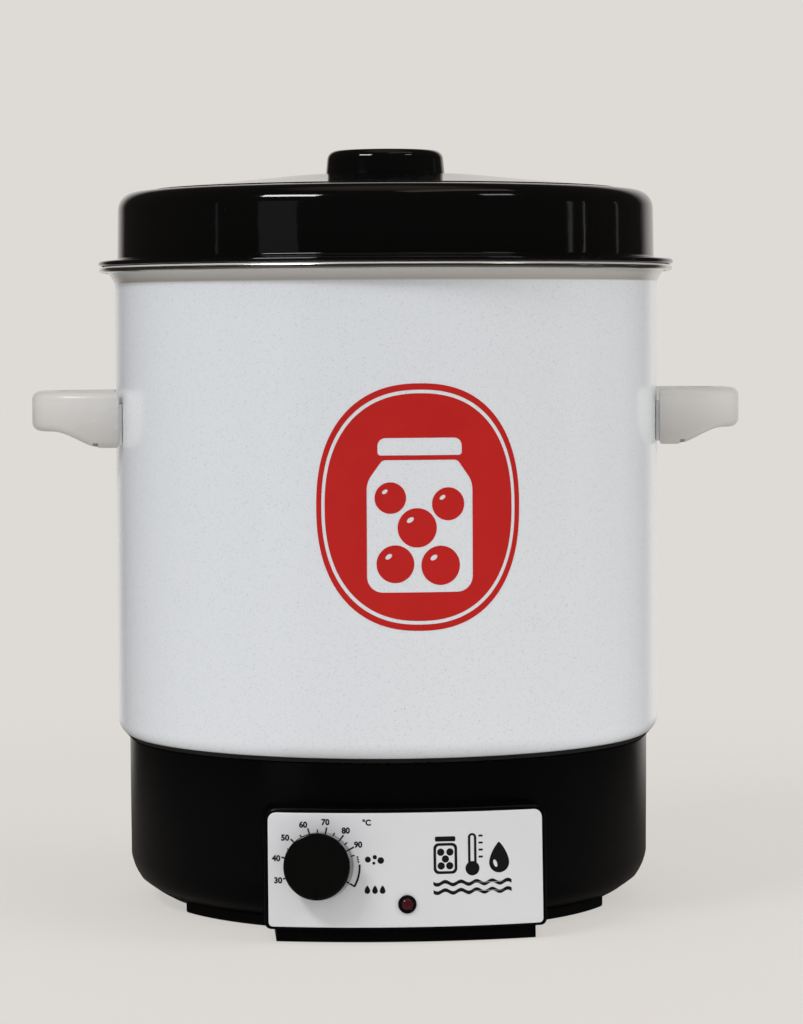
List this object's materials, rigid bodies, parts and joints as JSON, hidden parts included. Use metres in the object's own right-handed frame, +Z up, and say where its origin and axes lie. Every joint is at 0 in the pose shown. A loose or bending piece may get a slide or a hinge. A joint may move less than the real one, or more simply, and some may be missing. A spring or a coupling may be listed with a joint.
{
  "type": "electric water bath canner",
  "caption": "Tall enamelled pot with a domed lid and loop handles, on a heated plastic base with a thermostat dial and pilot light.",
  "frame": {"origin": "middle of the whole part in plan, on the floor it stands on", "axes": "+Z up along the pot's axis, -Y towards the control panel, +X to the right of someone who faces the panel"},
  "size_m": [0.46, 0.389, 0.4856],
  "materials": {
    "white_speckled_enamel": "glossy enamel with fine grey speckle",
    "black_enamel": "high gloss",
    "bright_rim_steel": "bright rolled",
    "black_gloss_plastic": "gloss",
    "pale_grey_plastic": "satin",
    "pale_painted_steel": "satin",
    "black_base_plastic": "semi-gloss with a fine grain",
    "gasket_rubber": "matte",
    "foot_rubber": "matte",
    "silver_panel": "fine satin",
    "dark_red_lens": "clear dark red",
    "screw_steel": "zinc plated",
    "zinc_plated_sheet": "zinc plated",
    "rack_steel": "stainless, satin",
    "cast_aluminium": "as cast",
    "heater_sheath": "dull, heat tinted",
    "ivory_moulding": "matte",
    "copper": "bright copper",
    "wire_insulation": "satin"
  },
  "bodies": {
    "canner": {"base_gasket": "gasket_rubber", "base_shell": "black_base_plastic", "bottom_plate": "zinc_plated_sheet", "bulb_clip": "zinc_plated_sheet", "capillary_tube": "copper", "centre_rod": "screw_steel", "clamp_nut": "screw_steel", "control_housing": "black_base_plastic", "cord_gland": "black_gloss_plastic", "foot_front_left": "foot_rubber", "foot_front_right": "foot_rubber", "foot_rear_left": "foot_rubber", "foot_rear_right": "foot_rubber", "foot_screw_front_left": "screw_steel", "foot_screw_front_right": "screw_steel", "foot_screw_rear_left": "screw_steel", "foot_screw_rear_right": "screw_steel", "handle_bracket_left": "pale_painted_steel", "handle_bracket_right": "pale_painted_steel", "handle_left": "pale_grey_plastic", "handle_right": "pale_grey_plastic", "handle_screw_left_front": "screw_steel", "handle_screw_left_rear": "screw_steel", "handle_screw_right_front": "screw_steel", "handle_screw_right_rear": "screw_steel", "heat_shield": "zinc_plated_sheet", "heat_spreader": "cast_aluminium", "heating_element": "heater_sheath", "housing_screw_left": "screw_steel", "housing_screw_right": "screw_steel", "panel_plate": "silver_panel", "pilot_holder": "black_gloss_plastic", "pilot_lens": "dark_red_lens", "pot_shell": "white_speckled_enamel", "pressure_plate": "zinc_plated_sheet", "rim_band": "bright_rim_steel", "rod_nut": "screw_steel", "sensor_bulb": "copper", "shield_nut": "screw_steel", "spacer_tube": "screw_steel", "terminal_block": "ivory_moulding", "terminal_block_screw": "screw_steel", "thermal_cutout": "ivory_moulding", "thermostat_body": "ivory_moulding", "thermostat_screw_left": "screw_steel", "thermostat_screw_right": "screw_steel", "wire_heater": "wire_insulation", "wire_pilot": "wire_insulation", "wire_return": "wire_insulation", "wire_supply": "wire_insulation"},
    "lid": {"lid_shell": "black_enamel", "lid_knob": "black_gloss_plastic", "lid_knob_screw": "screw_steel", "lid_knob_washer": "screw_steel"},
    "rack": {"jar_rack": "rack_steel"},
    "dial": {"thermostat_knob": "black_gloss_plastic", "thermostat_shaft": "screw_steel"}
  },
  "joints": [
    {"name": "lid_lift", "type": "slide", "parent": "canner", "child": "lid", "axis": [0, 0, 1], "range_m": [0, 0.35]},
    {"name": "rack_lift", "type": "slide", "parent": "canner", "child": "rack", "axis": [0, 0, 1], "range_m": [0, 0.27]},
    {"name": "thermostat_turn", "type": "hinge", "parent": "canner", "child": "dial", "pos_m": [-0.0525, -0.17399, 0.046], "axis": [0.1579, 0.9801, -0.1203], "range_deg": [0, 298]}
  ]
}
